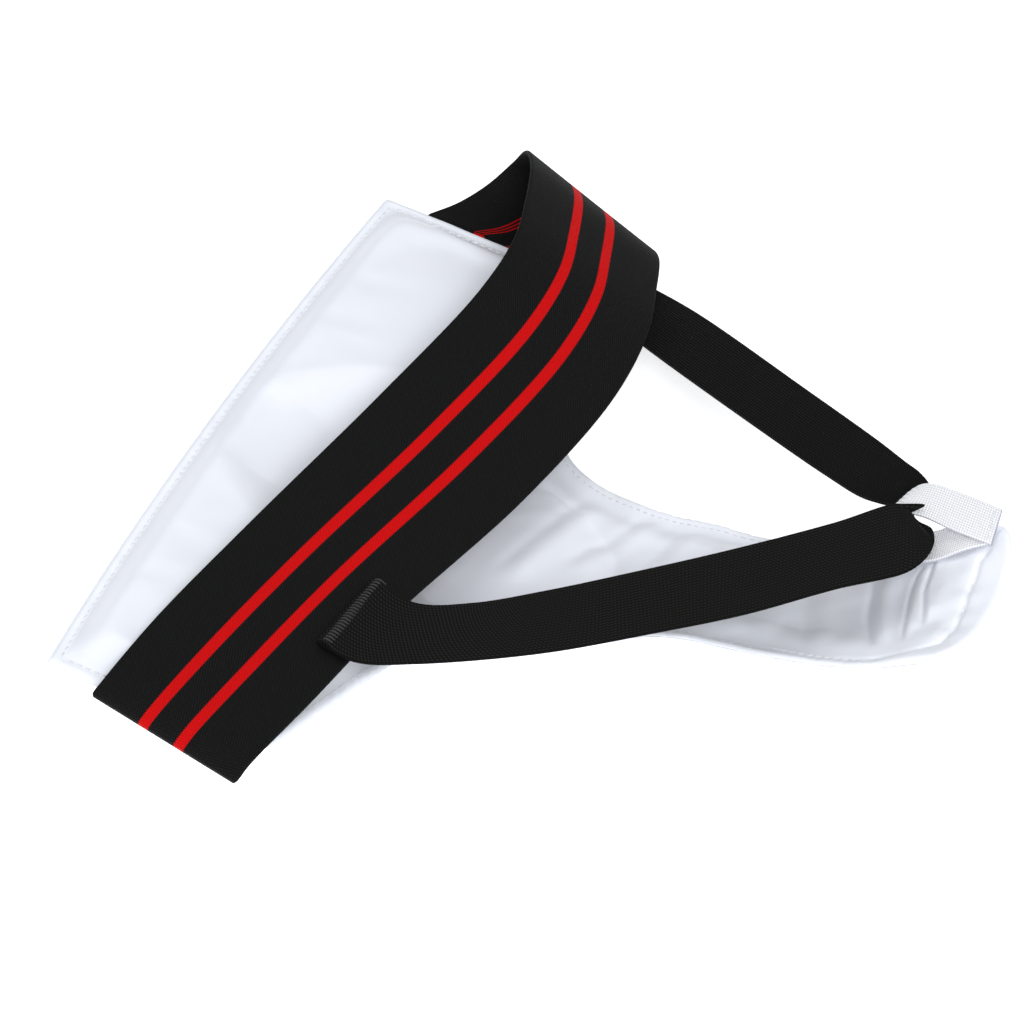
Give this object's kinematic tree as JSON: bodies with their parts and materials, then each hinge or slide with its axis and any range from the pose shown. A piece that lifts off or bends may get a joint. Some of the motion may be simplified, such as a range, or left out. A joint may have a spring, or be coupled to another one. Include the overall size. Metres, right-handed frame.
{
  "type": "groin protector",
  "caption": "Padded groin protector: soft pouch with a moulded cup sewn inside, a wide elastic waistband and an elastic leg strap that slides through a webbing loop at the crotch end.",
  "frame": {"origin": "the flat spot under the moulded cup on which the guard rests when it lies on its front", "axes": "+Z the wearer's back (up, as it lies), +Y the wearer's head (waist edge), -Y the crotch end, +X the wearer's right"},
  "size_m": [0.3111, 0.28, 0.0659],
  "materials": {
    "cover_fabric": "smooth white coated satin, slightly shiny",
    "lining_fabric": "smooth white coated satin, slightly shiny",
    "cup_plastic": "natural white moulded polyethylene",
    "foam": "light grey closed-cell foam",
    "white_thread": "white sewing thread",
    "waistband_elastic": "black woven elastic with two woven red stripes",
    "strap_elastic": "black ribbed woven elastic",
    "grey_thread": "light grey overlock thread",
    "white_webbing": "white basket-weave webbing"
  },
  "bodies": {
    "pouch": {"front_cover": "cover_fabric", "back_lining": "lining_fabric", "hard_cup": "cup_plastic", "cup_foam_liner": "foam", "cup_rim_cushion": "foam", "abdomen_pad": "foam", "waist_edge_stitch": "white_thread", "side_edge_stitch_right": "white_thread", "side_edge_stitch_left": "white_thread", "waistband_seam_stitch_right": "white_thread", "waistband_seam_stitch_left": "white_thread", "leg_edge_stitch_right": "white_thread", "leg_edge_stitch_left": "white_thread"},
    "tail": {"tail_cover": "cover_fabric", "tail_lining": "lining_fabric", "tail_foam_strip": "foam", "crotch_seam_stitch": "white_thread"},
    "waistband": {"waistband": "waistband_elastic", "strap_hem_right": "strap_elastic", "strap_hem_left": "strap_elastic", "strap_end_stitch_right": "grey_thread", "strap_end_stitch_left": "grey_thread"},
    "leg_strap": {"leg_strap": "strap_elastic"},
    "webbing_loop": {"webbing_loop": "white_webbing", "loop_seam_stitch": "white_thread"}
  },
  "joints": [
    {"name": "waistband_tilt", "type": "hinge", "parent": "pouch", "child": "waistband", "pos_m": [0, 0.067, 0.026], "axis": [-1, 0, 0], "range_deg": [-3, 5]},
    {"name": "leg_strap_swing", "type": "hinge", "parent": "waistband", "child": "leg_strap", "pos_m": [-0.077, 0.0155, 0.0411], "axis": [-0.9868, -0.0727, 0.145], "range_deg": [-8, 4]},
    {"name": "tail_flex", "type": "hinge", "parent": "pouch", "child": "tail", "pos_m": [0, -0.091, 0.026], "axis": [-1, 0, 0], "range_deg": [-1, 2]},
    {"name": "webbing_loop_flap", "type": "hinge", "parent": "tail", "child": "webbing_loop", "pos_m": [0.025, -0.151, 0.06], "axis": [-1, 0, 0], "range_deg": [-1, 1.5]}
  ],
  "couplings": [
    {"joint": "leg_strap_swing", "follows": "waistband_tilt", "ratio": -1.25},
    {"joint": "tail_flex", "follows": "waistband_tilt", "ratio": 0.3}
  ]
}
